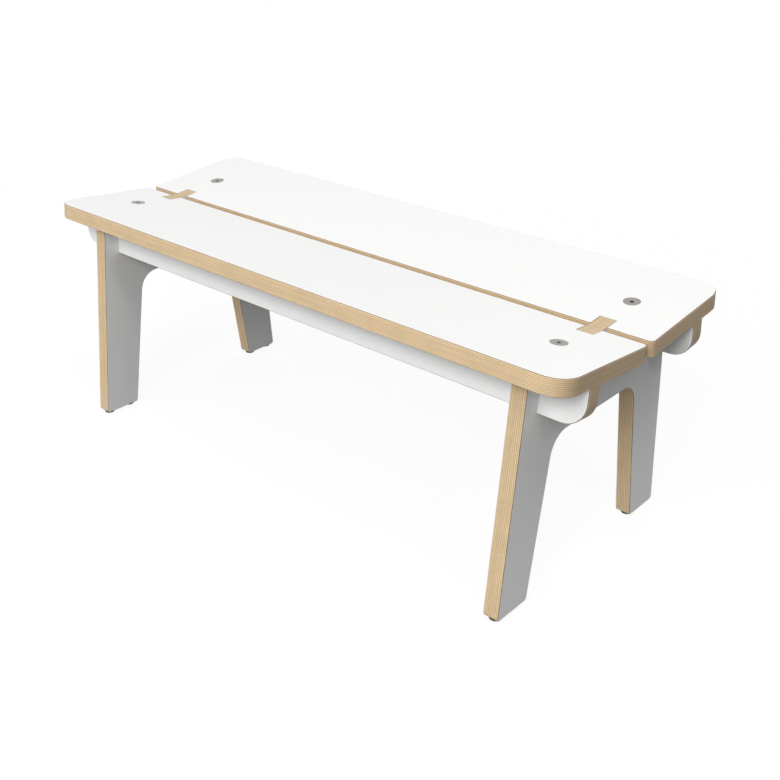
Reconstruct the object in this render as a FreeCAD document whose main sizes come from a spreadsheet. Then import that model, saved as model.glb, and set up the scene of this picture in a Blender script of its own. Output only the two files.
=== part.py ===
import FreeCAD, Part
import os
import Sketcher

# Knock-down bench cut from faced plywood board.
# X runs along the bench, Y from the front edge to the rear edge, Z up from the floor.
# The origin is on the floor, under the middle of the bench. Every size is in millimetres.
#
# Two seat planks slope down to a slot along the middle. Two leg panels stand across the bench, and each
# sends a tenon up through the seat. Two rails stand on edge under the planks, square to them, and are halved
# into the panels.
# Four bolts pull the planks down on the panels, into barrel nuts, and lock everything.

V = FreeCAD.Vector
HALF_TURN = FreeCAD.Placement(V(0, 0, 0), FreeCAD.Rotation(V(0, 0, 1), 180))

SIZES = [
    # whole bench
    ("benchLength", 1203.0, "seat planks and rails are this long"),
    ("boardThickness", 28.6, "27 mm plywood with a 0.8 mm laminate on each face"),
    ("easedEdge", 1.3, "chamfer that takes the sharpness off a sawn edge"),
    ("overrun", 1.0, "how far a cut starts or ends outside the board"),
    # dished seat
    ("plankWidth", 232.0, "across one plank, along its slope"),
    ("dishAngle", 5.5, "slope of each plank towards the slot, degrees"),
    ("seatGap", 13.0, "slot between the two planks"),
    ("seatValleyHeight", 427.0, "inner top edge of a plank above the floor"),
    ("plankOuterRadius", 40.0, "plan radius of a plank's outer corners"),
    ("plankInnerRadius", 10.0, "plan radius of its corners at the slot"),
    # leg panels
    ("panelSetback", 94.3, "bench end to the middle of a panel's thickness"),
    ("tenonHalfWidth", 35.5, "half of the tenon that shows in the seat"),
    ("tenonSidePlay", 0.9, "play on each side of the tenon's thickness in its notches"),
    ("tenonEndPlay", 0.5, "play at each end of the tenon"),
    ("shoulderHalfWidth", 202.2, "half of the panel's width under the planks"),
    ("footOuter", 241.8, "middle of the bench to a foot's outer corner"),
    ("footInner", 163.2, "middle of the bench to a foot's inner corner"),
    ("archHalfWidth", 120.1, "half of the arch at its top, before its corners are rounded"),
    ("archHeight", 288.8, "top of the arch above the floor"),
    ("archRadius", 40.0, "radius of the arch's top corners"),
    ("footRadius", 6.0, "radius of a foot's corners"),
    # rails
    ("railSetback", 160.5, "plank's inner edge to a rail's outer face, along the slope"),
    ("railHeight", 65.0, "rail below the plank, square to it"),
    ("railCornerRadius", 40.0, "radius of a rail's lower corners"),
    ("lapClearance", 0.3, "play on each side of a halved notch"),
    # connector bolts and barrel nuts
    ("boltInset", 100.5, "plank's inner edge to the bolt, along the slope"),
    ("boltHeadDiameter", 28.0, "flat head, let in level with the seat"),
    ("boltHeadThickness", 3.0, "thickness of the head"),
    ("boltHeadClearance", 0.2, "play round the head in its recess"),
    ("boltHeadBevel", 0.6, "bevel round the head's top edge"),
    ("boltDiameter", 10.0, "shank"),
    ("boltLength", 64.0, "top of the head to the end of the shank, inside the nut"),
    ("boltBoreClearance", 0.3, "play round the shank in the boards"),
    ("hexAcrossFlats", 6.0, "hexagon socket in the head"),
    ("hexDepth", 5.0, "depth of the socket"),
    ("nutDiameter", 16.0, "barrel nut"),
    ("nutLength", 22.0, "barrel nut, through the panel's thickness"),
    ("nutDepth", 58.0, "seat face to the middle of the nut"),
    ("nutThreadPlay", 0.1, "play of the shank in the nut"),
    ("nutBorePlay", 0.1, "play of the nut in the panel"),
    ("nutSlotWidth", 1.6, "screwdriver slot that lines the nut up"),
    ("nutSlotDepth", 1.5, "depth of that slot"),
    # glides
    ("glideDiameter", 20.0, "moulded pad under a foot"),
    ("glideHeight", 5.0, "lifts the foot clear of the floor"),
    ("glideBevel", 1.2, "bevel round the pad's sole"),
    ("glideSpacing", 50.0, "between the two glides of one foot"),
    ("nailWidth", 2.4, "square nail that holds a glide"),
    ("nailLength", 22.0, "from the nail's head to its point"),
    ("nailPoint", 4.0, "length of the four-sided point"),
    ("nailTipWidth", 0.4, "blunt end of the point"),
    ("nailHeadWidth", 7.0, "square head, moulded into the pad"),
    ("nailHeadThickness", 1.2, "thickness of that head"),
    ("nailHeadDepth", 1.4, "plastic below the head"),
    ("nailPlay", 0.05, "play round the nail"),
]


def make_sheet(doc):
    sheet = doc.addObject("Spreadsheet::Sheet", "Sizes")
    for row, (alias, value, note) in enumerate(SIZES, start=1):
        sheet.set("A%d" % row, alias)
        sheet.set("B%d" % row, str(value))
        sheet.set("C%d" % row, note)
        sheet.setAlias("B%d" % row, alias)
    doc.recompute()
    return sheet


# Sizes as expressions. A point across the bench is at "across" from its middle.

def seat_top(across):
    return "(Sizes.seatValleyHeight + (%s - Sizes.seatGap / 2) * tan(Sizes.dishAngle))" % across


def seat_underside(across):
    return "(%s - Sizes.boardThickness / cos(Sizes.dishAngle))" % seat_top(across)


PANEL_X = "(Sizes.benchLength / 2 - Sizes.panelSetback)"
RAIL_INNER = "(Sizes.railSetback - Sizes.boardThickness)"
LAP_DEPTH = "(Sizes.boardThickness + Sizes.railHeight / 2)"
NUT_CENTRE = (
    "Sizes.seatGap / 2 + Sizes.boltInset * cos(Sizes.dishAngle) + Sizes.nutDepth * sin(Sizes.dishAngle)",
    "Sizes.seatValleyHeight + Sizes.boltInset * sin(Sizes.dishAngle) - Sizes.nutDepth * cos(Sizes.dishAngle)",
)


# Helpers for bodies, sketches and features

def new_body(doc, label):
    body = doc.addObject("PartDesign::Body", label)
    body.Label = label
    return body


def origin_plane(body, role):
    return next(f for f in body.Origin.OriginFeatures if f.Role == role)


def new_sketch(body, name, role, offset=None):
    sketch = body.newObject("Sketcher::SketchObject", name)
    sketch.AttachmentSupport = [(origin_plane(body, role), "")]
    sketch.MapMode = "FlatFace"
    if offset is not None:
        sketch.AttachmentOffset = offset
    return sketch


def bind_point(sketch, geometry, end, point):
    for kind, expression in zip(("DistanceX", "DistanceY"), point):
        value = float(sketch.evalExpression(expression))
        index = sketch.addConstraint(Sketcher.Constraint(kind, -1, 1, geometry, end, value))
        sketch.setExpression("Constraints[%d]" % index, expression)


def draw_outline(sketch, corners):
    """A closed outline of straight lines, each corner held at two expressions of the sheet."""
    values = [V(*(float(sketch.evalExpression(e)) for e in corner), 0) for corner in corners]
    lines = []
    for start, end in zip(values, values[1:] + values[:1]):
        lines.append(sketch.addGeometry(Part.LineSegment(start, end), False))
    for line, following in zip(lines, lines[1:] + lines[:1]):
        sketch.addConstraint(Sketcher.Constraint("Coincident", line, 2, following, 1))
    for line, corner in zip(lines, corners):
        bind_point(sketch, line, 1, corner)


def draw_rectangle(sketch, left, right, low, high):
    draw_outline(sketch, [(left, low), (right, low), (right, high), (left, high)])


def draw_square(sketch, half_width, across="0"):
    low, high = across + " - (%s)" % half_width, across + " + (%s)" % half_width
    draw_rectangle(sketch, "-(%s)" % half_width, half_width, low, high)


def draw_circle(sketch, centre, radius):
    value = V(*(float(sketch.evalExpression(e)) for e in centre), 0)
    size = float(sketch.evalExpression(radius))
    circle = sketch.addGeometry(Part.Circle(value, V(0, 0, 1), size), False)
    bind_point(sketch, circle, 3, centre)
    index = sketch.addConstraint(Sketcher.Constraint("Radius", circle, size))
    sketch.setExpression("Constraints[%d]" % index, radius)


def pad(body, sketch, name, length, reversed_side=False, symmetric=False):
    feature = body.newObject("PartDesign::Pad", name)
    feature.Profile = sketch
    feature.SideType = "Symmetric" if symmetric else "One side"
    feature.Reversed = reversed_side
    feature.setExpression("Length", length)
    body.Document.recompute()
    return feature


def pocket(body, sketch, name, length, reversed_side=False, symmetric=False):
    """A cut, which has to leave the body with less material than it had."""
    before = body.Shape.Volume
    feature = body.newObject("PartDesign::Pocket", name)
    feature.Profile = sketch
    feature.SideType = "Symmetric" if symmetric else "One side"
    feature.Reversed = reversed_side
    feature.setExpression("Length", length)
    body.Document.recompute()
    if not body.Shape.Volume < before - 1e-3:
        raise RuntimeError("%s cuts nothing" % name)
    return feature


def mirror(body, feature, name, role):
    copy = body.newObject("PartDesign::Mirrored", name)
    copy.Originals = [feature]
    copy.MirrorPlane = (origin_plane(body, role), [""])
    body.Tip = copy
    body.Document.recompute()
    return copy


def revolve(body, sketch, name):
    feature = body.newObject("PartDesign::Revolution", name)
    feature.Profile = sketch
    feature.ReferenceAxis = (sketch, ["V_Axis"])
    feature.Angle = 360
    body.Document.recompute()
    return feature


def edges_where(body, test):
    edges = enumerate(body.Shape.Edges, start=1)
    return ["Edge%d" % number for number, edge in edges if test(edge)]


def dress_edges(body, kind, name, size_name, size, test):
    """A fillet or chamfer on those edges of the finished body that pass the test."""
    base, edges = body.Tip, edges_where(body, test)
    feature = body.newObject(kind, name)
    feature.Base = (base, edges)
    feature.setExpression(size_name, size)
    body.Document.recompute()
    return feature


def round_edges(body, name, radius, test):
    return dress_edges(body, "PartDesign::Fillet", name, "Radius", radius, test)


def bevel_edges(body, name, size, test):
    return dress_edges(body, "PartDesign::Chamfer", name, "Size", size, test)


def is_along(edge, direction):
    """True for a straight edge that runs along the direction."""
    if not isinstance(edge.Curve, Part.Line):
        return False
    return abs(abs(edge.Curve.Direction.dot(direction)) - 1) < 1e-6


def lies_at(edge, axis, values):
    """True for an edge that stays at one of the given values of x, y or z."""
    low = getattr(edge.BoundBox, axis.upper() + "Min")
    high = getattr(edge.BoundBox, axis.upper() + "Max")
    return any(abs(low - value) < 1e-4 and abs(high - value) < 1e-4 for value in values)


def middle(edge, axis):
    return getattr(edge.BoundBox.Center, axis)


# Seat plank: lies in its own plane, seat face at z = 0, inner edge on the X axis

def make_plank(doc, sheet, label, placement):
    body = new_body(doc, label)
    outline = new_sketch(body, "PlankOutline", "XY_Plane")
    draw_rectangle(outline, "-Sizes.benchLength / 2", "Sizes.benchLength / 2", "0", "Sizes.plankWidth")
    pad(body, outline, "PlankBoard", "Sizes.boardThickness", reversed_side=True)
    upright = V(0, 0, 1)
    round_edges(body, "OuterCorners", "Sizes.plankOuterRadius",
                lambda edge: is_along(edge, upright) and middle(edge, "y") > sheet.plankWidth / 2)
    round_edges(body, "InnerCorners", "Sizes.plankInnerRadius",
                lambda edge: is_along(edge, upright) and middle(edge, "y") < sheet.plankWidth / 2)
    faces = (0, -sheet.boardThickness)
    bevel_edges(body, "EasedEdges", "Sizes.easedEdge", lambda edge: lies_at(edge, "z", faces))
    notch = new_sketch(body, "TenonNotch", "XY_Plane")
    half = "(Sizes.boardThickness / 2 + Sizes.tenonSidePlay)"
    depth = "(Sizes.tenonHalfWidth - Sizes.seatGap / 2) / cos(Sizes.dishAngle) + Sizes.tenonEndPlay"
    draw_rectangle(notch, "%s - %s" % (PANEL_X, half), "%s + %s" % (PANEL_X, half), "-Sizes.overrun", depth)
    cut = pocket(body, notch, "TenonNotchCut", "Sizes.boardThickness")
    mirror(body, cut, "SecondNotch", "YZ_Plane")
    bolt_holes(body)
    body.Placement = placement
    return body


def bolt_holes(body):
    centres = new_sketch(body, "BoltCentres", "XY_Plane")
    radius = "Sizes.boltDiameter / 2 + Sizes.boltBoreClearance"
    for side in ("-", ""):
        draw_circle(centres, (side + PANEL_X, "Sizes.boltInset"), radius)
    body.Document.recompute()
    before = body.Shape.Volume
    hole = body.newObject("PartDesign::Hole", "BoltHoles")
    hole.Profile = centres
    hole.setExpression("Diameter", "Sizes.boltDiameter + 2 * Sizes.boltBoreClearance")
    hole.DepthType = "ThroughAll"
    hole.HoleCutType = "Counterbore"
    hole.HoleCutCustomValues = True
    hole.setExpression("HoleCutDiameter", "Sizes.boltHeadDiameter + 2 * Sizes.boltHeadClearance")
    hole.setExpression("HoleCutDepth", "Sizes.boltHeadThickness")
    body.Document.recompute()
    if not body.Shape.Volume < before - 1e-3:
        raise RuntimeError("the bolt holes cut nothing")


# Leg panel: stands across the bench, middle of its thickness at x = 0, barrel nuts open to its -X face

def make_panel(doc, sheet, label, placement):
    body = new_body(doc, label)
    half = new_sketch(body, "HalfPanel", "YZ_Plane")
    draw_outline(half, [
        ("0", "Sizes.archHeight"),
        ("Sizes.archHalfWidth", "Sizes.archHeight"),
        ("Sizes.footInner", "Sizes.glideHeight"),
        ("Sizes.footOuter", "Sizes.glideHeight"),
        ("Sizes.shoulderHalfWidth", seat_underside("Sizes.shoulderHalfWidth")),
        ("Sizes.tenonHalfWidth", seat_underside("Sizes.tenonHalfWidth")),
        ("Sizes.tenonHalfWidth", seat_top("Sizes.tenonHalfWidth")),
        ("0", seat_top("0")),
    ])
    half_pad = pad(body, half, "HalfPanelBoard", "Sizes.boardThickness", symmetric=True)
    mirror(body, half_pad, "WholePanel", "XZ_Plane")
    through = V(1, 0, 0)
    round_edges(body, "ArchCorners", "Sizes.archRadius",
                lambda edge: is_along(edge, through) and abs(middle(edge, "z") - sheet.archHeight) < 1e-3)
    round_edges(body, "FootCorners", "Sizes.footRadius",
                lambda edge: is_along(edge, through) and abs(middle(edge, "z") - sheet.glideHeight) < 1e-3)
    faces = (-sheet.boardThickness / 2, sheet.boardThickness / 2)
    shoulder = sheet.seatValleyHeight - sheet.boardThickness
    bevel_edges(body, "EasedEdges", "Sizes.easedEdge",
                lambda edge: lies_at(edge, "x", faces) and edge.BoundBox.ZMin < shoulder)
    rail_notches(body, sheet)
    bolt_bores(body, sheet)
    nut_bores(body, sheet)
    nail_holes(body)
    body.Placement = placement
    return body


def rail_notches(body, sheet):
    """Open at the top and square to the sloping seat, so the sketch is turned to its slope."""
    slope = FreeCAD.Placement(V(sheet.seatGap / 2, sheet.seatValleyHeight, 0),
                              FreeCAD.Rotation(V(0, 0, 1), sheet.dishAngle))
    notch = new_sketch(body, "RailNotch", "YZ_Plane", slope)
    draw_rectangle(notch, RAIL_INNER + " - Sizes.lapClearance", "Sizes.railSetback + Sizes.lapClearance",
                   "-" + LAP_DEPTH, "0")
    cut = pocket(body, notch, "RailNotchCut", "Sizes.boardThickness + 2 * Sizes.overrun", symmetric=True)
    mirror(body, cut, "SecondRailNotch", "XZ_Plane")


def bolt_bores(body, sheet):
    """Square to the sloping seat, so the sketch lies in the plane of the rear plank's face."""
    circle = new_sketch(body, "BoltBore", "XY_Plane", seat_frame(sheet))
    draw_circle(circle, ("0", "Sizes.boltInset"), "Sizes.boltDiameter / 2 + Sizes.boltBoreClearance")
    cut = pocket(body, circle, "BoltBoreCut", "Sizes.nutDepth")
    mirror(body, cut, "SecondBoltBore", "XZ_Plane")


def nut_bores(body, sheet):
    """Blind bores from the face that looks to the middle of the bench, each across a bolt's line."""
    circle = new_sketch(body, "NutBore", "YZ_Plane", moved(z=-sheet.boardThickness / 2))
    draw_circle(circle, NUT_CENTRE, "Sizes.nutDiameter / 2 + Sizes.nutBorePlay")
    depth = "(Sizes.boardThickness + Sizes.nutLength) / 2 + Sizes.nutBorePlay"
    cut = pocket(body, circle, "NutBoreCut", depth, reversed_side=True)
    mirror(body, cut, "SecondNutBore", "XZ_Plane")


def nail_holes(body):
    squares = new_sketch(body, "NailHoles", "XY_Plane")
    for across in glide_positions():
        draw_square(squares, "Sizes.nailWidth / 2 + Sizes.nailPlay", across)
    depth = "Sizes.nailHeadDepth + Sizes.nailLength + Sizes.nailPlay"
    cut = pocket(body, squares, "NailHolesCut", depth, reversed_side=True)
    mirror(body, cut, "OtherFoot", "XZ_Plane")


# Rail: on edge under a plank and square to it, so it is drawn in the plank's frame

def make_rail(doc, sheet, label, placement):
    body = new_body(doc, label)
    section = new_sketch(body, "RailSection", "YZ_Plane")
    lower_edge = "-(Sizes.boardThickness + Sizes.railHeight)"
    draw_rectangle(section, RAIL_INNER, "Sizes.railSetback", lower_edge, "-Sizes.boardThickness")
    pad(body, section, "RailBoard", "Sizes.benchLength", symmetric=True)
    across = V(0, 1, 0)
    lap = -sheet.boardThickness - sheet.railHeight / 2
    round_edges(body, "LowerCorners", "Sizes.railCornerRadius",
                lambda edge: is_along(edge, across) and middle(edge, "z") < lap)
    faces = (sheet.railSetback, sheet.railSetback - sheet.boardThickness)
    bevel_edges(body, "EasedEdges", "Sizes.easedEdge",
                lambda edge: lies_at(edge, "y", faces) and middle(edge, "z") < -sheet.boardThickness - 1)
    notch = new_sketch(body, "PanelNotch", "XZ_Plane")
    half = "(Sizes.boardThickness / 2 + Sizes.lapClearance)"
    draw_rectangle(notch, "%s - %s" % (PANEL_X, half), "%s + %s" % (PANEL_X, half),
                   lower_edge + " - Sizes.overrun", "-" + LAP_DEPTH)
    cut = pocket(body, notch, "PanelNotchCut", "Sizes.railSetback + Sizes.overrun")
    mirror(body, cut, "SecondPanelNotch", "YZ_Plane")
    body.Placement = placement
    return body


# Bolts, nuts, glides and nails: each is drawn once about the Z axis and placed where it is used

def make_bolt(doc):
    body = new_body(doc, "bolt")
    profile = new_sketch(body, "BoltProfile", "XZ_Plane")
    head = "Sizes.boltHeadDiameter / 2"
    draw_outline(profile, [
        ("0", "0"),
        (head + " - Sizes.boltHeadBevel", "0"),
        (head, "-Sizes.boltHeadBevel"),
        (head, "-Sizes.boltHeadThickness"),
        ("Sizes.boltDiameter / 2", "-Sizes.boltHeadThickness"),
        ("Sizes.boltDiameter / 2", "-Sizes.boltLength"),
        ("0", "-Sizes.boltLength"),
    ])
    revolve(body, profile, "BoltTurned")
    socket = new_sketch(body, "HexagonSocket", "XY_Plane")
    corner = "Sizes.hexAcrossFlats / sqrt(3) * %s(%d)"
    draw_outline(socket, [(corner % ("cos", turn), corner % ("sin", turn)) for turn in range(0, 360, 60)])
    pocket(body, socket, "HexagonSocketCut", "Sizes.hexDepth")
    return body


def make_nut(doc):
    body = new_body(doc, "nut")
    circle = new_sketch(body, "NutCircle", "YZ_Plane")
    draw_circle(circle, ("0", "0"), "Sizes.nutDiameter / 2")
    pad(body, circle, "NutBar", "Sizes.nutLength", symmetric=True)
    thread = new_sketch(body, "NutThread", "XY_Plane")
    draw_circle(thread, ("0", "0"), "Sizes.boltDiameter / 2 + Sizes.nutThreadPlay")
    pocket(body, thread, "NutThreadCut", "Sizes.nutDiameter + 2 * Sizes.overrun", symmetric=True)
    slot = new_sketch(body, "NutSlot", "XZ_Plane")
    end = "-Sizes.nutLength / 2"
    draw_rectangle(slot, end + " - Sizes.overrun", end + " + Sizes.nutSlotDepth",
                   "-Sizes.nutSlotWidth / 2", "Sizes.nutSlotWidth / 2")
    pocket(body, slot, "NutSlotCut", "Sizes.nutDiameter + 2 * Sizes.overrun", symmetric=True)
    return body


def make_glide(doc, sheet, label, placement):
    body = new_body(doc, label)
    profile = new_sketch(body, "GlideProfile", "XZ_Plane")
    rim = "Sizes.glideDiameter / 2"
    draw_outline(profile, [
        ("0", "0"),
        (rim + " - Sizes.glideBevel", "0"),
        (rim, "Sizes.glideBevel"),
        (rim, "Sizes.glideHeight"),
        ("0", "Sizes.glideHeight"),
    ])
    revolve(body, profile, "GlideTurned")
    shank = new_sketch(body, "NailShankHole", "XY_Plane", moved(z=sheet.glideHeight))
    draw_square(shank, "Sizes.nailWidth / 2 + Sizes.nailPlay")
    pocket(body, shank, "NailShankCut", "Sizes.glideHeight - Sizes.nailHeadDepth + Sizes.nailPlay")
    head_top = sheet.nailHeadDepth + sheet.nailHeadThickness + sheet.nailPlay
    head = new_sketch(body, "NailHeadSeat", "XY_Plane", moved(z=head_top))
    draw_square(head, "Sizes.nailHeadWidth / 2 + Sizes.nailPlay")
    pocket(body, head, "NailHeadCut", "Sizes.nailHeadThickness + 2 * Sizes.nailPlay")
    body.Placement = placement
    return body


def make_nail(doc, sheet):
    body = new_body(doc, "nail")
    head = new_sketch(body, "NailHead", "XY_Plane")
    draw_square(head, "Sizes.nailHeadWidth / 2")
    pad(body, head, "NailHeadPlate", "Sizes.nailHeadThickness")
    shank = new_sketch(body, "NailShank", "XY_Plane")
    draw_square(shank, "Sizes.nailWidth / 2")
    pad(body, shank, "NailShankBar", "Sizes.nailLength - Sizes.nailPoint")
    point = new_sketch(body, "NailPoint", "XY_Plane", moved(z=sheet.nailLength - sheet.nailPoint))
    draw_square(point, "Sizes.nailWidth / 2")
    tip = pad(body, point, "NailPointTaper", "Sizes.nailPoint")
    tip.setExpression("TaperAngle", "-atan((Sizes.nailWidth - Sizes.nailTipWidth) / 2 / Sizes.nailPoint)")
    doc.recompute()
    return body


def make_group(doc, label, master, placements):
    """Separate solids, all copies of one master, in one node."""
    copies = []
    for number, placement in enumerate(placements, start=1):
        copy = doc.addObject("App::Link", "%s_%d" % (master.Label, number))
        copy.LinkedObject = master
        copy.Placement = placement
        copies.append(copy)
    group = doc.addObject("Part::Compound", label)
    group.Label = label
    group.Links = copies
    doc.recompute()
    return group


# Where everything goes

def seat_frame(sheet):
    """The rear plank's own frame: X along the bench, Y up the slope, Z square to the seat."""
    base = V(0, sheet.seatGap / 2, sheet.seatValleyHeight)
    return FreeCAD.Placement(base, FreeCAD.Rotation(V(1, 0, 0), sheet.dishAngle))


def moved(x=0.0, y=0.0, z=0.0):
    return FreeCAD.Placement(V(x, y, z), FreeCAD.Rotation())


def panel_x(sheet):
    return sheet.benchLength / 2 - sheet.panelSetback


def glide_positions():
    """Across the bench: the inner and the outer glide of the rear foot."""
    centre = "(Sizes.footInner + Sizes.footOuter) / 2"
    return (centre + " - Sizes.glideSpacing / 2", centre + " + Sizes.glideSpacing / 2")


def four_places(place):
    """One place on the rear right, and its copies on the rear left, the front right and the front left."""
    right, left = place(1), place(-1)
    return [right, left, HALF_TURN.multiply(left), HALF_TURN.multiply(right)]


def build(doc):
    sheet = make_sheet(doc)
    rear_seat = seat_frame(sheet)
    right = moved(x=panel_x(sheet))
    parts = [
        make_plank(doc, sheet, "seat_plank_rear", rear_seat),
        make_plank(doc, sheet, "seat_plank_front", HALF_TURN.multiply(rear_seat)),
        make_panel(doc, sheet, "leg_panel_right", right),
        make_panel(doc, sheet, "leg_panel_left", HALF_TURN.multiply(right)),
        make_rail(doc, sheet, "rail_rear", rear_seat),
        make_rail(doc, sheet, "rail_front", HALF_TURN.multiply(rear_seat)),
    ]

    def bolt_place(side):
        return rear_seat.multiply(moved(side * panel_x(sheet), sheet.boltInset))

    def nut_place(side):
        facing = moved() if side > 0 else HALF_TURN
        spot = rear_seat.multiply(moved(side * panel_x(sheet), sheet.boltInset, -sheet.nutDepth))
        return spot.multiply(facing)

    parts.append(make_group(doc, "connector_bolts", make_bolt(doc), four_places(bolt_place)))
    parts.append(make_group(doc, "barrel_nuts", make_nut(doc), four_places(nut_place)))

    nails = []
    inner, outer = (float(sheet.evalExpression(e)) for e in glide_positions())
    for side, x in (("left", -panel_x(sheet)), ("right", panel_x(sheet))):
        for end, sign in (("front", -1), ("rear", 1)):
            for position, across in (("inner", inner), ("outer", outer)):
                label = "glide_%s_%s_%s" % (side, end, position)
                parts.append(make_glide(doc, sheet, label, moved(x, sign * across)))
                nails.append(moved(x, sign * across, sheet.nailHeadDepth))
    parts.append(make_group(doc, "glide_nails", make_nail(doc, sheet), nails))
    doc.recompute()
    return parts


def check(doc, parts):
    for item in doc.Objects:
        if "Invalid" in item.State or "Error" in item.State:
            raise RuntimeError("%s failed to build" % item.Name)
    for part in parts:
        if part.Shape.isNull() or not part.Shape.isValid():
            raise RuntimeError("%s has no valid shape" % part.Label)


def write(parts):
    os.makedirs("parts", exist_ok=True)
    for part in parts:
        part.Shape.exportStep("parts/%s.step" % part.Label)
        print("%-26s %d solids  %.0f mm3" % (part.Label, len(part.Shape.Solids), part.Shape.Volume))


document = FreeCAD.newDocument("bench")
pieces = build(document)
check(document, pieces)
write(pieces)
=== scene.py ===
import math

import bmesh
import bpy
from mathutils import Euler, Matrix, Vector


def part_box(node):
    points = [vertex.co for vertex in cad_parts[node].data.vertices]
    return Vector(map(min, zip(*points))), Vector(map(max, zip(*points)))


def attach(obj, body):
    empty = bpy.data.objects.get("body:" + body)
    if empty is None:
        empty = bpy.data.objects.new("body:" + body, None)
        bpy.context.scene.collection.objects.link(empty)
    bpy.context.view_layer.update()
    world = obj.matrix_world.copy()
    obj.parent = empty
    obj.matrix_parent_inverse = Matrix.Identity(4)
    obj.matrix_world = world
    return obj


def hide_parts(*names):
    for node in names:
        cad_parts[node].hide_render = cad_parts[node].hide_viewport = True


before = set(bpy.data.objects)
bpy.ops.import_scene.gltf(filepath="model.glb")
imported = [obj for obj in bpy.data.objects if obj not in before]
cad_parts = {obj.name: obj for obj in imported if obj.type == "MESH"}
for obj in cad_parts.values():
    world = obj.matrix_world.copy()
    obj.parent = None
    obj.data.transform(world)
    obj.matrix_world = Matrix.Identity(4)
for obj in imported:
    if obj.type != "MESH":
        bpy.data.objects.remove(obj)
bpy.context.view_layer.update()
mm = 0.001
print("frame loaded, %d nodes" % len(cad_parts))

# the camera stands where the photo was taken from, as fitted to the bench's own edges
photoCamera = {
    "location": (1.272761, -1.382373, 1.109731),
    "lookAt": (-0.000945, 0.011, 0.225226),
    "lens": 50.10,                    # mm
    "sensor": 36,                     # mm
    "shift": (0.0397, -0.0532),
}


def placeCamera(values):
    data = bpy.data.cameras.new("photoCamera")
    data.lens = values["lens"]
    data.sensor_width = values["sensor"]
    data.shift_x, data.shift_y = values["shift"]
    camera = bpy.data.objects.new("photoCamera", data)
    bpy.context.scene.collection.objects.link(camera)
    camera.location = values["location"]
    aim = Vector(values["lookAt"]) - camera.location
    camera.rotation_euler = aim.to_track_quat("-Z", "Y").to_euler()
    bpy.context.scene.camera = camera


placeCamera(photoCamera)
bpy.context.scene.view_settings.view_transform = "Standard"
print("camera placed")


# small helpers for materials

def linearColour(code):
    # an sRGB hex colour as the linear values that a shader works with
    channels = [int(code[i:i + 2], 16) / 255 for i in (1, 3, 5)]
    linear = [c / 12.92 if c <= 0.04045 else ((c + 0.055) / 1.055) ** 2.4 for c in channels]
    return (*linear, 1.0)


def addNode(tree, kind, inputs, **settings):
    # one node, with its settings, and its sockets either linked or set to a value
    node = tree.nodes.new("ShaderNode" + kind)
    for name, value in settings.items():
        setattr(node, name, value)
    for socket, value in inputs.items():
        if isinstance(value, bpy.types.NodeSocket):
            tree.links.new(value, node.inputs[socket])
        else:
            node.inputs[socket].default_value = value
    return node


def newMaterial(name):
    material = bpy.data.materials.new(name)
    material.use_nodes = True
    material.node_tree.nodes.clear()
    return material, material.node_tree


# the part of a noise's range that a shade or a gloss is spread over
noiseSpan = {"From Min": 0.3, "From Max": 0.7}
grainSpan = {"From Min": 0.25, "From Max": 0.75}


# the boards: birch plywood faced with a white high-pressure laminate
birchPly = {
    "thickness": 28.6,                # mm, laminate to laminate
    "laminate": 0.8,                  # mm, kraft paper core and decor together
    "decor": 0.10,                    # mm of white paper at the very surface
    "veneers": 17,
    "waviness": 0.30,                 # mm, the most that a veneer can wander
    "wavinessLength": 38.0,           # mm
    "fibreLength": 70.0,              # mm
    "fibreWidth": 0.9,                # mm, twice the real one so that it shows
    "glueLine": 0.12,                 # mm each side of a joint, over which its dark line fades
    "shades": (0.86, 1.10),           # of the darkest and palest fibres
    "fleck": 0.22,                    # how much darker still the deepest pores are
    "fleckGrain": (0.40, 0.28),       # grain value where a pore starts, and where it is full
    "patchiness": 0.05,               # how much paler or darker a stretch of the edge is
    "lotSpread": 0.05,                # how much paler or darker a whole veneer is
    "longVeneer": "#E3CCA9",          # grain along the edge
    "crossVeneer": "#CCB088",         # grain into the edge, so darker
    "glue": "#A98A5E",
    "kraft": "#583718",
    "white": "#F2F2F1",
    "pearlGrain": 0.7,                # mm, press-plate texture of the laminate
    "pearlShade": 0.985,              # of its darkest spots
    "plyRoughness": (0.50, 0.64),
    "laminateRoughness": (0.33, 0.41),
    "bump": (0.35, 0.03),             # strength, and mm of relief
    "veneerStep": 7.3,                # how far apart in the noise two veneers lie, so that they differ
    "boardStep": 11.0,                # and two boards
}

dishedSeat = {
    "slope": 5.5,                     # degrees, each plank slopes down to the slot
    "halfSlot": 6.5,                  # mm, bench's middle to a plank's inner top edge
    "valley": 427.0,                  # mm, that edge above the floor
    "railSetback": 160.5,             # mm up the slope, from that edge to the rail's outer face
}
slope, halfSlot, valley = dishedSeat["slope"], dishedSeat["halfSlot"], dishedSeat["valley"]
railOut = halfSlot + dishedSeat["railSetback"] * math.cos(math.radians(slope))
railUp = valley + dishedSeat["railSetback"] * math.sin(math.radians(slope))
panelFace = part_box("leg_panel_right")[1].x / mm

# where each board's outer face lies in mm, how it is turned in degrees, and the painted shade on its sawn
# ends
boards = {
    "seat_plank_rear": {"origin": (0, halfSlot, valley), "turn": (slope, 0, 0), "ends": 0.80},
    "seat_plank_front": {"origin": (0, -halfSlot, valley), "turn": (slope, 0, 180), "ends": 0.80},
    "leg_panel_right": {"origin": (panelFace, 0, 0), "turn": (0, 90, 0), "ends": 0.95},
    "leg_panel_left": {"origin": (-panelFace, 0, 0), "turn": (0, -90, 0), "ends": 0.95},
    "rail_rear": {"origin": (0, railOut, railUp), "turn": (slope - 90, 0, 0), "ends": 0.78},
    "rail_front": {"origin": (0, -railOut, railUp), "turn": (slope - 90, 0, 180), "ends": 0.78},
}


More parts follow.
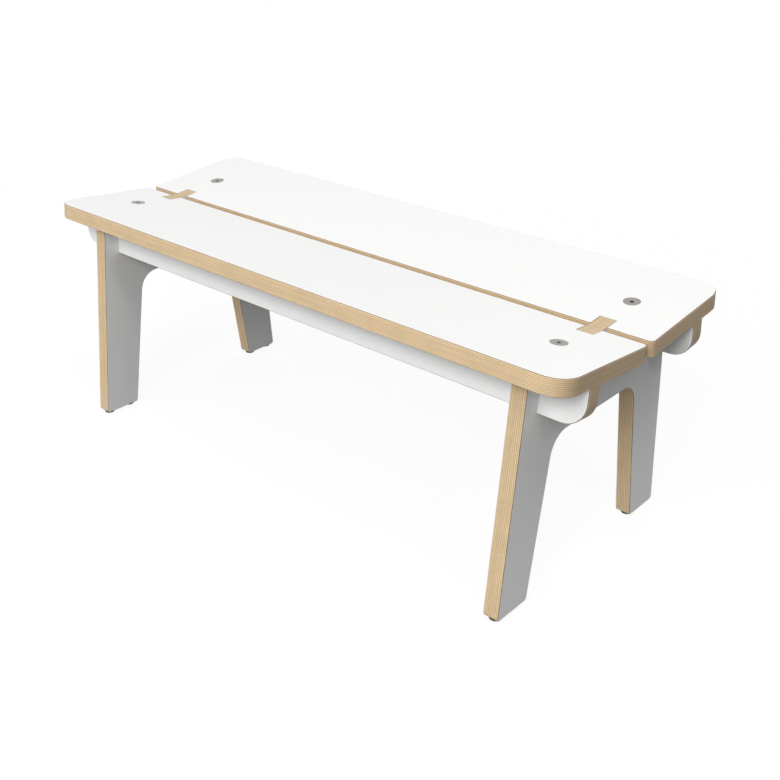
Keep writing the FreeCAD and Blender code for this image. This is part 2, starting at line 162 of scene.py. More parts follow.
def facedPly(name, board, sheet, values):
    # Rotary-cut birch veneers, glued crosswise, sanded and oiled at the edge: fine pale and tan lines.
    # The faces are a semi-matt laminate, pressed against a pearled plate: white, with a soft broad sheen.
    material, tree = newMaterial(name)
    half = values["thickness"] / 2
    core = half - values["laminate"]
    veneer = 2 * core / values["veneers"]
    glueShare = values["glueLine"] / veneer
    seed = sheet * values["boardStep"]
    turn = [math.radians(angle) for angle in board["turn"]]
    place = addNode(tree, "TexCoord", {})
    # board coordinates in mm: x along the grain, y across it, z through the thickness
    flat = addNode(tree, "Mapping", {
        "Vector": place.outputs["Object"], "Location": [c * mm for c in board["origin"]],
        "Rotation": turn, "Scale": (mm, mm, mm),
    }, vector_type="TEXTURE")
    axes = addNode(tree, "SeparateXYZ", {0: flat.outputs[0]})
    height = addNode(tree, "Math", {0: axes.outputs[2], 1: half}, operation="ADD")
    depth = addNode(tree, "Math", {0: height.outputs[0]}, operation="ABSOLUTE")

    # which veneer: the middle one is 0, and even ones run along the board
    wander = addNode(tree, "TexNoise", {
        "Vector": flat.outputs[0], "W": seed, "Scale": 1 / values["wavinessLength"], "Detail": 1.0,
    }, noise_dimensions="4D")
    shift = addNode(tree, "MapRange", {
        "Value": wander.outputs[0], "To Min": -values["waviness"], "To Max": values["waviness"],
    })
    wandered = addNode(tree, "Math", {0: height.outputs[0], 1: shift.outputs[0]}, operation="ADD")
    count = addNode(tree, "Math", {0: wandered.outputs[0], 1: veneer}, operation="DIVIDE")
    number = addNode(tree, "Math", {0: count.outputs[0]}, operation="ROUND")
    cross = addNode(tree, "Math", {0: number.outputs[0], 1: 2.0}, operation="FLOORED_MODULO")
    offset = addNode(tree, "Math", {0: count.outputs[0], 1: number.outputs[0]}, operation="SUBTRACT")
    fromMiddle = addNode(tree, "Math", {0: offset.outputs[0]}, operation="ABSOLUTE")
    glue = addNode(tree, "MapRange", {
        "Value": fromMiddle.outputs[0], "From Min": 0.5 - glueShare, "From Max": 0.5 - glueShare / 4,
    }, interpolation_type="SMOOTHSTEP")

    # fibres: long thin streaks along each veneer's own grain, fine dots where it is cut across
    lot = addNode(tree, "TexWhiteNoise", {"W": number.outputs[0]}, noise_dimensions="1D")
    layer = addNode(tree, "Math", {
        0: number.outputs[0], 1: values["veneerStep"], 2: seed,
    }, operation="MULTIPLY_ADD")
    long, wide = 1 / values["fibreLength"], 1 / values["fibreWidth"]
    fibres = []
    for scale in ((long, wide, wide), (wide, long, wide)):
        stretched = addNode(tree, "VectorMath", {0: flat.outputs[0], 1: scale}, operation="MULTIPLY")
        fibres.append(addNode(tree, "TexNoise", {
            "Vector": stretched.outputs[0], "W": layer.outputs[0], "Scale": 1.0, "Detail": 2.0,
            "Roughness": 0.6,
        }, noise_dimensions="4D"))
    grain = addNode(tree, "Mix", {
        0: cross.outputs[0], 2: fibres[0].outputs[0], 3: fibres[1].outputs[0],
    }, data_type="FLOAT")

    # wood colour
    wood = addNode(tree, "Mix", {
        0: cross.outputs[0],
        6: linearColour(values["longVeneer"]), 7: linearColour(values["crossVeneer"]),
    }, data_type="RGBA")
    shade = addNode(tree, "MapRange", {
        "Value": grain.outputs[0], **grainSpan,
        "To Min": values["shades"][0], "To Max": values["shades"][1],
    })
    flecks = addNode(tree, "MapRange", {
        "Value": grain.outputs[0],
        "From Min": values["fleckGrain"][0], "From Max": values["fleckGrain"][1],
        "To Min": 1.0, "To Max": 1 - values["fleck"],
    }, interpolation_type="SMOOTHSTEP")
    patches = addNode(tree, "MapRange", {
        "Value": wander.outputs[0], **noiseSpan,
        "To Min": 1 - values["patchiness"], "To Max": 1 + values["patchiness"],
    })
    lotShade = addNode(tree, "MapRange", {
        "Value": lot.outputs[0], "To Min": 1 - values["lotSpread"], "To Max": 1 + values["lotSpread"],
    })
    # painted shade: faces that look along a board's length, its sawn ends, are darkened as if the lamps
    # left them in shade
    facing = addNode(tree, "NewGeometry", {})
    square = addNode(tree, "Mapping", {
        "Vector": facing.outputs["Normal"], "Rotation": turn,
    }, vector_type="TEXTURE")
    faceAxes = addNode(tree, "SeparateXYZ", {0: square.outputs[0]})
    endways = addNode(tree, "Math", {
        0: faceAxes.outputs[0], 1: faceAxes.outputs[0],
    }, operation="MULTIPLY")
    endPaintedShade = addNode(tree, "MapRange", {
        "Value": endways.outputs[0], "To Min": 1.0, "To Max": board["ends"],
    })
    allShades = shade
    for part in (flecks, patches, lotShade, endPaintedShade):
        allShades = addNode(tree, "Math", {
            0: allShades.outputs[0], 1: part.outputs[0],
        }, operation="MULTIPLY")
    grained = addNode(tree, "VectorMath", {
        0: wood.outputs[2], 3: allShades.outputs[0],
    }, operation="SCALE")
    glued = addNode(tree, "Mix", {
        0: glue.outputs[0], 6: grained.outputs[0], 7: linearColour(values["glue"]),
    }, data_type="RGBA")

    # the laminate: brown kraft paper, then white decor at the surface
    inKraft = addNode(tree, "Math", {0: depth.outputs[0], 1: core}, operation="GREATER_THAN")
    inDecor = addNode(tree, "Math", {
        0: depth.outputs[0], 1: half - values["decor"],
    }, operation="GREATER_THAN")
    pearl = addNode(tree, "TexNoise", {
        "Vector": flat.outputs[0], "Scale": 1 / values["pearlGrain"], "Detail": 1.0, "Roughness": 0.4,
    })
    white = addNode(tree, "MapRange", {
        "Value": pearl.outputs[0], **noiseSpan, "To Min": values["pearlShade"], "To Max": 1.0,
    })
    decor = addNode(tree, "VectorMath", {
        0: linearColour(values["white"])[:3], 3: white.outputs[0],
    }, operation="SCALE")
    faced = addNode(tree, "Mix", {
        0: inKraft.outputs[0], 6: glued.outputs[2], 7: linearColour(values["kraft"]),
    }, data_type="RGBA")
    colour = addNode(tree, "Mix", {
        0: inDecor.outputs[0], 6: faced.outputs[2], 7: decor.outputs[0],
    }, data_type="RGBA")

    # sheen and relief
    sanded = addNode(tree, "MapRange", {
        "Value": grain.outputs[0], **grainSpan,
        "To Min": values["plyRoughness"][0], "To Max": values["plyRoughness"][1],
    })
    smooth = addNode(tree, "MapRange", {
        "Value": pearl.outputs[0], **noiseSpan,
        "To Min": values["laminateRoughness"][0], "To Max": values["laminateRoughness"][1],
    })
    roughness = addNode(tree, "Mix", {
        0: inDecor.outputs[0], 2: sanded.outputs[0], 3: smooth.outputs[0],
    }, data_type="FLOAT")
    woodRelief = addNode(tree, "Math", {0: grain.outputs[0], 1: glue.outputs[0]}, operation="SUBTRACT")
    relief = addNode(tree, "Mix", {
        0: inDecor.outputs[0], 2: woodRelief.outputs[0], 3: pearl.outputs[0],
    }, data_type="FLOAT")
    bump = addNode(tree, "Bump", {
        "Height": relief.outputs[0], "Strength": values["bump"][0], "Distance": values["bump"][1] * mm,
    })
    surface = addNode(tree, "BsdfPrincipled", {
        "Base Color": colour.outputs[2], "Roughness": roughness.outputs[0], "Normal": bump.outputs[0],
        "IOR": 1.5,
    })
    addNode(tree, "OutputMaterial", {"Surface": surface.outputs[0]})
    return material


for sheet, (node, board) in enumerate(boards.items()):
    finish = facedPly("facedBirchPly_" + node, board, sheet, birchPly)
    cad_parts[node].data.materials.clear()
    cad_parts[node].data.materials.append(finish)
print("boards finished")


# fasteners and glides: each is drawn about its own Z axis in mm, then set in its place
touching = 0.001                      # mm, points nearer than this are one
sharpAngle = 35                       # degrees, past which an edge stays crisp
quarterTurn = Matrix.Rotation(math.radians(90), 4, "X")


def drawLine(shape, outline):
    # a line of (radius, height) points beside the Z axis, ready to spin
    points = [shape.verts.new((radius, 0, height)) for radius, height in outline]
    return points + [shape.edges.new(pair) for pair in zip(points, points[1:])]


def turnedProfile(shape, profile, steps):
    # a profile spun once round the Z axis
    bmesh.ops.spin(shape, geom=drawLine(shape, profile), cent=(0, 0, 0), axis=(0, 0, 1),
                   angle=2 * math.pi, steps=steps, use_merge=True)
    bmesh.ops.remove_doubles(shape, verts=shape.verts, dist=touching)


def roundedEdge(radius, size, way, steps):
    # profile points from a flat face at height 0 round to the side, which goes up (1) or down (-1)
    angles = [math.pi / 2 * step / steps for step in range(steps + 1)]
    return [(radius - size * (1 - math.sin(a)), way * size * (1 - math.cos(a))) for a in angles]


def edgesAt(shape, height, within):
    # edges that lie flat at a height, inside a distance from the axis
    return [e for e in shape.edges
            if all(abs(v.co.z - height) < touching / 10 and v.co.xy.length < within for v in e.verts)]


def rememberDrawn(mesh):
    # keeps each point's own drawn place, in metres, for finishes that go round the axis
    drawn = mesh.attributes.new("drawn", "FLOAT_VECTOR", "POINT")
    for point, vertex in zip(drawn.data, mesh.vertices):
        point.vector = vertex.co


def meshFrom(shape, name):
    # the drawn shape in metres, its faces pointing outwards
    bmesh.ops.recalc_face_normals(shape, faces=shape.faces)
    bmesh.ops.scale(shape, vec=(mm, mm, mm), verts=shape.verts)
    mesh = bpy.data.meshes.new(name)
    shape.to_mesh(mesh)
    shape.free()
    return mesh


def placePiece(shape, name, place, node, material):
    bmesh.ops.remove_doubles(shape, verts=shape.verts, dist=touching)
    mesh = meshFrom(shape, name)
    rememberDrawn(mesh)
    mesh.transform(place)
    mesh.materials.append(material)
    mesh.shade_smooth()
    mesh.set_sharp_from_angle(angle=math.radians(sharpAngle))
    piece = bpy.data.objects.new(name, mesh)
    bpy.context.scene.collection.objects.link(piece)
    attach(piece, "root")
    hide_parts(node)
    return piece


def seatPlace(node, along, across, depth, turn):
    # a place on a plank: along the bench, up its slope, and below its face, in mm
    plank = boards[node]
    base = Matrix.Translation([c * mm for c in plank["origin"]])
    tilt = Euler([math.radians(angle) for angle in plank["turn"]]).to_matrix().to_4x4()
    spot = Matrix.Translation(Vector((along, across, -depth)) * mm)
    return base @ tilt @ spot @ Matrix.Rotation(turn, 4, "Z")


connectorBolt = {
    "headRadius": 14.0,
    "headThickness": 3.0,
    "rim": 0.6,                       # mm, rounded edge of the head
    "underHead": 0.5,                 # mm, chamfer between head and shank
    "shankRadius": 5.0,
    "length": 64.0,
    "neck": 24.0,                     # mm of plain shank, from the head's top to the thread
    "runOut": 1.0,                    # mm of it that tapers into the thread
    "pitch": 1.5,
    "threadDepth": 0.92,
    # one turn, as shares of the pitch downwards and of the thread's depth outwards
    "threadTurn": ((0, 0), (1 / 8, 0), (7 / 16, 1), (11 / 16, 1)),
    "flats": 6.0,                     # mm across the hexagon
    "socketDepth": 5.0,
    "socketMouth": 0.7,               # mm of chamfer round the socket
    "drillPoint": 1.2,                # mm that the drilled bottom goes deeper in the middle
    "steps": 48,
    "upSlope": 100.5,                 # mm from the plank's inner edge
}


def hexagonRing(shape, corner, height, steps):
    # a hexagon with as many points as the turned rings, so that the two bridge cleanly
    count = len(shape.verts)
    ring = bmesh.ops.create_circle(shape, cap_ends=False, segments=6, radius=corner)
    sides = list({e for v in ring["verts"] for e in v.link_edges})
    bmesh.ops.subdivide_edges(shape, edges=sides, cuts=steps // 6 - 1)
    points = list(shape.verts)[count:]
    bmesh.ops.translate(shape, verts=points, vec=(0, 0, height))
    return list({e for v in points for e in v.link_edges})


def threadedShank(shape, values):
    # the thread's whole outline, carried down by one pitch as it spins, then cut square at both ends
    top, pitch = -values["neck"], values["pitch"]
    root = values["shankRadius"] - values["threadDepth"]
    turns = int((values["length"] - values["neck"]) / pitch) + 2
    outline = [(root + out * values["threadDepth"], top + pitch - (turn + down) * pitch)
               for turn in range(turns) for down, out in values["threadTurn"]]
    outline.append((root, top + pitch - turns * pitch))
    bmesh.ops.spin(shape, geom=drawLine(shape, outline), cent=(0, 0, 0), axis=(0, 0, 1),
                   dvec=(0, 0, -pitch / values["steps"]), angle=2 * math.pi, steps=values["steps"],
                   use_merge=False)
    bmesh.ops.remove_doubles(shape, verts=shape.verts, dist=touching)
    for height, below in ((top, False), (-values["length"], True)):
        bmesh.ops.bisect_plane(shape, geom=shape.verts[:] + shape.edges[:] + shape.faces[:],
                               dist=touching / 100, plane_co=(0, 0, height), plane_no=(0, 0, 1),
                               clear_inner=below, clear_outer=not below)


def makeBolt(name, place, values, material):
    shape = bmesh.new()
    head, shank, under = values["headRadius"], values["shankRadius"], values["underHead"]
    low, plainEnd = -values["headThickness"], values["runOut"] - values["neck"]
    corner = values["flats"] / math.sqrt(3)
    mouth = corner + values["socketMouth"]
    # the thread, closed at its end
    threadedShank(shape, values)
    bmesh.ops.holes_fill(shape, edges=edgesAt(shape, -values["length"], head), sides=0)
    neckLow = edgesAt(shape, -values["neck"], head)
    # the head and the plain shank
    turnedProfile(shape, [
        (mouth, 0), *roundedEdge(head, values["rim"], -1, 3), (head, low), (shank + under, low),
        (shank, low - under), (shank, plainEnd),
    ], values["steps"])
    bmesh.ops.bridge_loops(shape, edges=neckLow + edgesAt(shape, plainEnd, head))
    # the socket, from its round mouth down to its drilled bottom
    rings = [edgesAt(shape, 0, mouth + touching)]
    for depth in (values["socketMouth"], values["socketDepth"]):
        rings.append(hexagonRing(shape, corner, -depth, values["steps"]))
        bmesh.ops.bridge_loops(shape, edges=rings[-2] + rings[-1])
    bottom = bmesh.ops.holes_fill(shape, edges=rings[-1], sides=0)
    drilled = bmesh.ops.poke(shape, faces=bottom["faces"])
    bmesh.ops.translate(shape, verts=drilled["verts"], vec=(0, 0, -values["drillPoint"]))
    placePiece(shape, name, place, "connector_bolts", material)


barrelNut = {
    "radius": 8.0,
    "length": 22.0,
    "rim": 0.8,                       # mm, turned chamfer at both ends
    "bore": 5.1,                      # mm, radius of the cross hole
    "boreSteps": 48,
    "slotWidth": 1.6,
    "slotDepth": 1.5,
    "depth": 58.0,                    # mm below the seat face
    "steps": 64,
}


def cutAway(piece, cutter):
    # takes one closed mesh out of another, and keeps the result as the piece's own mesh
    cut = piece.modifiers.new("cut", "BOOLEAN")
    cut.operation = "DIFFERENCE"
    cut.solver = "EXACT"
    cut.object = cutter
    graph = bpy.context.evaluated_depsgraph_get()
    solid = bpy.data.meshes.new_from_object(piece.evaluated_get(graph))
    piece.modifiers.clear()
    piece.data = solid
    bpy.data.objects.remove(cutter)


def cutterFrom(shape, place):
    mesh = meshFrom(shape, "cutter")
    mesh.transform(place)
    cutter = bpy.data.objects.new("cutter", mesh)
    bpy.context.scene.collection.objects.link(cutter)
    return cutter


def makeNut(name, place, values, material):
    shape = bmesh.new()
    half, rim = values["length"] / 2, values["rim"]
    turnedProfile(shape, [
        (0, -half), (values["radius"] - rim, -half), (values["radius"], rim - half),
        (values["radius"], half - rim), (values["radius"] - rim, half), (0, half),
    ], values["steps"])
    piece = placePiece(shape, name, place, "barrel_nuts", material)
    hole = bmesh.new()
    bmesh.ops.create_cone(hole, cap_ends=True, segments=values["boreSteps"], radius1=values["bore"],
                          radius2=values["bore"], depth=values["length"], matrix=quarterTurn)
    cutAway(piece, cutterFrom(hole, place))
    # a bar longer than the nut is wide, half of it in the nut's end
    slot = bmesh.new()
    bmesh.ops.create_cube(slot, size=1.0)
    bmesh.ops.scale(slot, vec=(3 * values["radius"], values["slotWidth"], 2 * values["slotDepth"]),
                    verts=slot.verts)
    bmesh.ops.translate(slot, vec=(0, 0, -half), verts=slot.verts)
    cutAway(piece, cutterFrom(slot, place))


glideNail = {
    "headWidth": 7.0,
    "headThickness": 1.2,
    "shankWidth": 2.4,
    "length": 22.0,
    "point": 4.0,
    "tipWidth": 0.4,
    "edge": 0.12,                     # mm, rounding that drawing and stamping leave
    "edgeSteps": 2,
    "play": 0.05,                     # mm round it in the glide
}


def squareNail(shape, values, play):
    # a square plate drawn up into a shank and a four-sided point
    width, shank = values["headWidth"], values["shankWidth"]
    start = bmesh.ops.create_grid(shape, x_segments=1, y_segments=1, size=width / 2 + play)
    bmesh.ops.translate(shape, verts=start["verts"], vec=(0, 0, -play))
    face = start["verts"][0].link_faces[0]
    headTop, shankEnd = values["headThickness"] + play, values["length"] - values["point"]
    for height, newWidth in ((headTop, width), (headTop, shank), (shankEnd, shank),
                             (values["length"], values["tipWidth"])):
        grown = bmesh.ops.extrude_face_region(shape, geom=[face] + face.edges[:] + face.verts[:])
        corners = [g for g in grown["geom"] if isinstance(g, bmesh.types.BMVert)]
        face = next(g for g in grown["geom"] if isinstance(g, bmesh.types.BMFace))
        share = (newWidth / 2 + play) / (width / 2 + play)
        bmesh.ops.scale(shape, vec=(share, share, 1), verts=corners)
        bmesh.ops.translate(shape, vec=(0, 0, height - corners[0].co.z), verts=corners)
        width = newWidth


def makeNail(name, place, values, material):
    shape = bmesh.new()
    squareNail(shape, values, 0.0)
    bmesh.ops.bevel(shape, geom=shape.edges[:], offset=values["edge"], segments=values["edgeSteps"],
                    profile=0.5, affect="EDGES", material=-1)
    placePiece(shape, name, place, "glide_nails", material)


footGlide = {
    "radius": 10.0,
    "height": 5.0,
    "soleRadius": 1.2,                # mm, rounded edge of the sole
    "soleSteps": 5,
    "topEdge": 0.3,                   # mm, chamfer of the upper edge
    "headDepth": 1.4,                 # mm of plastic under the nail's head
    "steps": 48,
}


def makeGlide(name, place, values, nail, node, material):
    shape = bmesh.new()
    rim, height, chamfer = values["radius"], values["height"], values["topEdge"]
    turnedProfile(shape, [
        (0, 0), *roundedEdge(rim, values["soleRadius"], 1, values["soleSteps"]),
        (rim, height - chamfer), (rim - chamfer, height), (0, height),
    ], values["steps"])
    piece = placePiece(shape, name, place, node, material)
    seat = bmesh.new()
    squareNail(seat, nail, nail["play"])
    cutAway(piece, cutterFrom(seat, place @ Matrix.Translation((0, 0, values["headDepth"] * mm))))


# metals and plastic

steelFinish = {
    "plated": "#A5A29F",
    # the dull grey of the plate, also used for the painted shade at the head's rim
    "dullGreyAndShade": "#76726E",
    "socket": "#8C9291",              # painted shade in the hex socket, a darker blue-grey than the plate
    "socketReach": 4.6,               # mm from the axis, just past the socket's mouth
    "socketStart": (-0.1, -0.6),      # mm, heights over which its painted shade sets in
    "turningPitch": 0.45,             # mm, three times the real one so that it shows
    "smudge": 6.0,                    # mm
    "paintedRimShade": (12.2, 13.9),          # mm from the axis, over which painted shade darkens the head towards its rim, in smudges
    "wornShare": 0.12,                # of dullness everywhere
    "roughness": (0.25, 0.40),
    "bump": (0.25, 0.02),             # strength, and mm of relief
}


def platedSteel(values):
    # Bright zinc plate on turned mild steel, the face left from the lathe:
    # a light grey metal with fine rings, dulled a little all over, with painted shade in smudges towards
    # the rim and in the hex socket.
    material, tree = newMaterial("zincPlatedTurnedSteel")
    drawn = addNode(tree, "Attribute", {}, attribute_name="drawn")
    axes = addNode(tree, "SeparateXYZ", {0: drawn.outputs["Vector"]})
    flat = addNode(tree, "CombineXYZ", {0: axes.outputs[0], 1: axes.outputs[1]})
    away = addNode(tree, "VectorMath", {0: flat.outputs[0]}, operation="LENGTH")
    turns = addNode(tree, "Math", {
        0: away.outputs["Value"], 1: 2 * math.pi / (values["turningPitch"] * mm),
    }, operation="MULTIPLY")
    rings = addNode(tree, "Math", {0: turns.outputs[0]}, operation="SINE")
    smudge = addNode(tree, "TexNoise", {
        "Vector": drawn.outputs["Vector"], "Scale": 1 / (values["smudge"] * mm), "Detail": 3.0,
    })
    # painted shade: the head darkens towards its rim, in smudges, as if shaded by its counterbore
    rim = addNode(tree, "MapRange", {
        "Value": away.outputs["Value"],
        "From Min": values["paintedRimShade"][0] * mm, "From Max": values["paintedRimShade"][1] * mm,
    }, interpolation_type="SMOOTHSTEP")
    dullAndRimShade = addNode(tree, "Math", {
        0: smudge.outputs[0], 1: rim.outputs[0], 2: values["wornShare"],
    }, operation="MULTIPLY_ADD")
    colour = addNode(tree, "Mix", {
        0: dullAndRimShade.outputs[0], 6: linearColour(values["plated"]), 7: linearColour(values["dullGreyAndShade"]),
    }, data_type="RGBA")
    # painted shade: inside the hex socket the colour turns darker
    near = addNode(tree, "Math", {
        0: away.outputs["Value"], 1: values["socketReach"] * mm,
    }, operation="LESS_THAN")
    sunk = addNode(tree, "MapRange", {
        "Value": axes.outputs[2],
        "From Min": values["socketStart"][0] * mm, "From Max": values["socketStart"][1] * mm,
    })
    socketShadeMask = addNode(tree, "Math", {0: near.outputs[0], 1: sunk.outputs[0]}, operation="MULTIPLY")
    withSocketShade = addNode(tree, "Mix", {
        0: socketShadeMask.outputs[0], 6: colour.outputs[2], 7: linearColour(values["socket"]),
    }, data_type="RGBA")
    roughness = addNode(tree, "MapRange", {
        "Value": smudge.outputs[0], **noiseSpan,
        "To Min": values["roughness"][0], "To Max": values["roughness"][1],
    })
    bump = addNode(tree, "Bump", {
        "Height": rings.outputs[0], "Strength": values["bump"][0], "Distance": values["bump"][1] * mm,
    })
    surface = addNode(tree, "BsdfPrincipled", {
        "Base Color": withSocketShade.outputs[2], "Roughness": roughness.outputs[0], "Normal": bump.outputs[0],
        "Metallic": 1.0,
    })
    addNode(tree, "OutputMaterial", {"Surface": surface.outputs[0]})
    return material


nailFinish = {
    "wire": "#8F8D8A",
    "scale": "#5E5A56",
    "drawLine": (0.3, 0.3, 9.0),      # mm, size of a streak across and along the wire
    "roughness": 0.42,
    "bump": (0.3, 0.02),              # strength, and mm of relief
}


def drawnWire(values):
    # Bright drawn wire, stamped square: a dull grey steel with fine lines along its length.
    material, tree = newMaterial("drawnSteelWire")
    drawn = addNode(tree, "Attribute", {}, attribute_name="drawn")
    lines = addNode(tree, "VectorMath", {
        0: drawn.outputs["Vector"], 1: [1 / (size * mm) for size in values["drawLine"]],
    }, operation="MULTIPLY")
    streak = addNode(tree, "TexNoise", {"Vector": lines.outputs[0], "Scale": 1.0, "Detail": 2.0})
    colour = addNode(tree, "Mix", {
        0: streak.outputs[0], 6: linearColour(values["wire"]), 7: linearColour(values["scale"]),
    }, data_type="RGBA")
    bump = addNode(tree, "Bump", {
        "Height": streak.outputs[0], "Strength": values["bump"][0], "Distance": values["bump"][1] * mm,
    })
    surface = addNode(tree, "BsdfPrincipled", {
        "Base Color": colour.outputs[2], "Roughness": values["roughness"], "Normal": bump.outputs[0],
        "Metallic": 1.0,
    })
    addNode(tree, "OutputMaterial", {"Surface": surface.outputs[0]})
    return material


glideFinish = {
    "black": "#211F1D",
    "scuffed": "#37332F",
    "grit": 0.35,                     # mm
    "scuff": 4.0,                     # mm
    "scuffHeight": 0.8,               # mm above the sole
    "roughness": (0.41, 0.58),
    "bump": (0.3, 0.03),              # strength, and mm of relief
}


def mouldedPolyethylene(values):
    # Injection-moulded polyethylene from a spark-eroded tool: a soft black with a fine grit,
    # paler on the sole, where it rubs on the floor.
    material, tree = newMaterial("mouldedBlackPolyethylene")
    drawn = addNode(tree, "Attribute", {}, attribute_name="drawn")
    axes = addNode(tree, "SeparateXYZ", {0: drawn.outputs["Vector"]})
    grit = addNode(tree, "TexNoise", {
        "Vector": drawn.outputs["Vector"], "Scale": 1 / (values["grit"] * mm), "Detail": 2.0,
    })
    scuff = addNode(tree, "TexNoise", {
        "Vector": drawn.outputs["Vector"], "Scale": 1 / (values["scuff"] * mm), "Detail": 4.0,
    })
    low = addNode(tree, "MapRange", {
        "Value": axes.outputs[2], "From Min": values["scuffHeight"] * mm, "From Max": 0.0,
    })
    rubbed = addNode(tree, "Math", {0: low.outputs[0], 1: scuff.outputs[0]}, operation="MULTIPLY")
    colour = addNode(tree, "Mix", {
        0: rubbed.outputs[0], 6: linearColour(values["black"]), 7: linearColour(values["scuffed"]),
    }, data_type="RGBA")
    roughness = addNode(tree, "MapRange", {
        "Value": grit.outputs[0], **noiseSpan,
        "To Min": values["roughness"][0], "To Max": values["roughness"][1],
    })
    bump = addNode(tree, "Bump", {
        "Height": grit.outputs[0], "Strength": values["bump"][0], "Distance": values["bump"][1] * mm,
    })
    surface = addNode(tree, "BsdfPrincipled", {
        "Base Color": colour.outputs[2], "Roughness": roughness.outputs[0], "Normal": bump.outputs[0],
        "IOR": 1.5,
    })
    addNode(tree, "OutputMaterial", {"Surface": surface.outputs[0]})
    return material


# each bolt's plank, its end as that plank's own x axis points, its corner, and how far it is turned
seatBolts = (
    ("seat_plank_rear", 1, "rear_right", 8),
    ("seat_plank_rear", -1, "rear_left", 37),
    ("seat_plank_front", 1, "front_left", 21),
    ("seat_plank_front", -1, "front_right", 52),
)
steel = platedSteel(steelFinish)
panelMiddle = panelFace - birchPly["thickness"] / 2
up, deep = connectorBolt["upSlope"], barrelNut["depth"]
for plank, side, corner, turn in seatBolts:
    onSeat = seatPlace(plank, side * panelMiddle, up, 0, math.radians(turn))
    makeBolt("connector_bolt_" + corner, onSeat, connectorBolt, steel)
    inPanel = seatPlace(plank, side * panelMiddle, up, deep, math.radians(90 * side))
    makeNut("barrel_nut_" + corner, inPanel @ quarterTurn, barrelNut, steel)
print("bolts and nuts made")

wire, plastic = drawnWire(nailFinish), mouldedPolyethylene(glideFinish)
for node in [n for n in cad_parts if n.startswith("glide_") and n != "glide_nails"]:
    low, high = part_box(node)
    spot = Matrix.Translation(((low.x + high.x) / 2, (low.y + high.y) / 2, low.z))
    makeGlide("foot_" + node, spot, footGlide, glideNail, node, plastic)
    nailSpot = spot @ Matrix.Translation((0, 0, footGlide["headDepth"] * mm))
    makeNail(node.replace("glide", "glide_nail"), nailSpot, glideNail, wire)
print("glides and nails made")


# the floor and the light
studio = {
    "floorRadius": 14.0,              # m
    "floorSteps": 96,
    # the greys that light comes back from, inside the one radius, in m, and past the other
    "floorGrey": ("#5D5D5D", "#424242"),
    "nearFloor": (0.7, 1.5),
    # what the camera sees is white, and takes this share of shade inside the one radius, in m,
    # and none past the other
    "shadowShare": 0.10,
    "shadowRadius": (0.9, 2.2),
    "shadowWhite": 1.12,              # above 1, so that open floor stays white under these lamps
    "worldLight": 0.04,               # strength of the plain white light from all round
    "softboxDistance": 7.0,           # m, from the aim
    "softboxHeight": 0.8,             # as a share of its width
    # degrees round from the bench's front, degrees up, watts, width in m
    "softboxes": {
        "leftSoftbox": (-22, 33, 138, 3.0),
        "lowSoftbox": (2, 10, 74, 3.0),
        "keySoftbox": (24, 32, 240, 3.0),
        "highSoftbox": (24, 58, 76, 3.0),
        "smallSoftbox": (69, 40, 34, 0.8),
        "sideSoftbox": (66, 64, 32, 3.0),
        "overheadSoftbox": (88, 72, 98, 3.0),
        "backSoftbox": (-160, 14, 155, 3.0),
        "farSoftbox": (-130, 30, 60, 3.0),
    },
    "softboxAim": (0.0, 0.0, 0.3),
}


def brightRays(tree):
    # 1 for the rays that should meet the white background
    path = addNode(tree, "LightPath", {})
    bright = addNode(tree, "Math", {
        0: path.outputs["Is Camera Ray"], 1: path.outputs["Is Glossy Ray"],
    }, operation="MAXIMUM")
    return addNode(tree, "Math", {
        0: bright.outputs[0], 1: path.outputs["Is Transmission Ray"],
    }, operation="MAXIMUM")


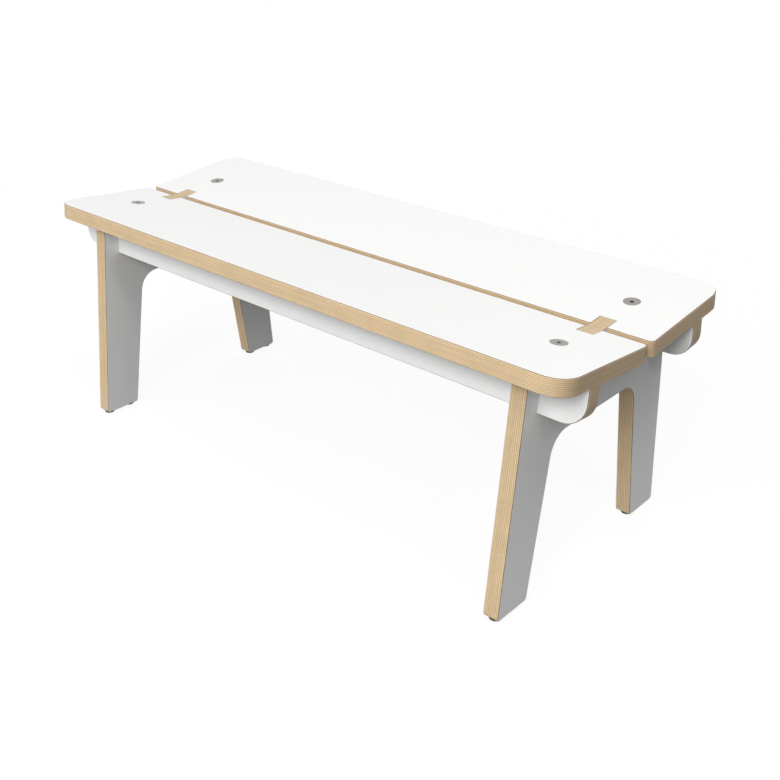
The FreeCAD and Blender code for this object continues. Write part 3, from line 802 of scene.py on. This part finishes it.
def makeFloor(values):
    shape = bmesh.new()
    bmesh.ops.create_circle(shape, cap_ends=True, segments=values["floorSteps"],
                            radius=values["floorRadius"])
    mesh = bpy.data.meshes.new("studioFloor")
    shape.to_mesh(mesh)
    shape.free()
    floor = bpy.data.objects.new("studioFloor", mesh)
    bpy.context.scene.collection.objects.link(floor)
    material, tree = newMaterial("palePaintedFloor")
    bright = brightRays(tree)
    shadowWhite = values["shadowWhite"]
    shaded = addNode(tree, "BsdfDiffuse", {"Color": (shadowWhite, shadowWhite, shadowWhite, 1.0)})
    white = addNode(tree, "Emission", {"Color": (1.0, 1.0, 1.0, 1.0), "Strength": 1.0})
    place = addNode(tree, "TexCoord", {})
    away = addNode(tree, "VectorMath", {0: place.outputs["Object"]}, operation="LENGTH")
    farOff = addNode(tree, "MapRange", {
        "Value": away.outputs["Value"],
        "From Min": values["nearFloor"][0], "From Max": values["nearFloor"][1],
    }, interpolation_type="SMOOTHSTEP")
    returned = addNode(tree, "Mix", {
        0: farOff.outputs[0],
        6: linearColour(values["floorGrey"][0]), 7: linearColour(values["floorGrey"][1]),
    }, data_type="RGBA")
    grey = addNode(tree, "BsdfDiffuse", {"Color": returned.outputs[2]})
    share = addNode(tree, "MapRange", {
        "Value": away.outputs["Value"],
        "From Min": values["shadowRadius"][0], "From Max": values["shadowRadius"][1],
        "To Min": values["shadowShare"], "To Max": 0.0,
    }, interpolation_type="SMOOTHSTEP")
    background = addNode(tree, "MixShader", {
        0: share.outputs[0], 1: white.outputs[0], 2: shaded.outputs[0],
    })
    onTop = addNode(tree, "MixShader", {
        0: bright.outputs[0], 1: grey.outputs[0], 2: background.outputs[0],
    })
    # seen from below the floor is clear, so that the underside of the bench shows
    geometry = addNode(tree, "NewGeometry", {})
    clear = addNode(tree, "BsdfTransparent", {"Color": (1.0, 1.0, 1.0, 1.0)})
    surface = addNode(tree, "MixShader", {
        0: geometry.outputs["Backfacing"], 1: onTop.outputs[0], 2: clear.outputs[0],
    })
    addNode(tree, "OutputMaterial", {"Surface": surface.outputs[0]})
    mesh.materials.append(material)


def makeWorld(values):
    world = bpy.data.worlds.new("studioWorld")
    world.use_nodes = True
    tree = world.node_tree
    tree.nodes.clear()
    bright = brightRays(tree)
    level = addNode(tree, "MapRange", {
        "Value": bright.outputs[0], "To Min": values["worldLight"], "To Max": 1.0,
    })
    light = addNode(tree, "Background", {"Color": (1.0, 1.0, 1.0, 1.0), "Strength": level.outputs[0]})
    addNode(tree, "OutputWorld", {"Surface": light.outputs[0]})
    bpy.context.scene.world = world


def makeSoftbox(name, azimuth, elevation, power, width, values):
    data = bpy.data.lights.new(name, "AREA")
    data.shape = "RECTANGLE"
    data.size, data.size_y = width, width * values["softboxHeight"]
    data.energy = power
    lamp = bpy.data.objects.new(name, data)
    bpy.context.scene.collection.objects.link(lamp)
    around, up = math.radians(azimuth), math.radians(elevation)
    away = Vector((math.sin(around) * math.cos(up), -math.cos(around) * math.cos(up), math.sin(up)))
    lamp.location = Vector(values["softboxAim"]) + away * values["softboxDistance"]
    lamp.rotation_euler = (-away).to_track_quat("-Z", "Y").to_euler()
    lamp.visible_camera = False
    lamp.visible_glossy = False       # sheen and metal show the white background alone


makeFloor(studio)
makeWorld(studio)
for name, setting in studio["softboxes"].items():
    makeSoftbox(name, *setting, studio)
print("studio lit")
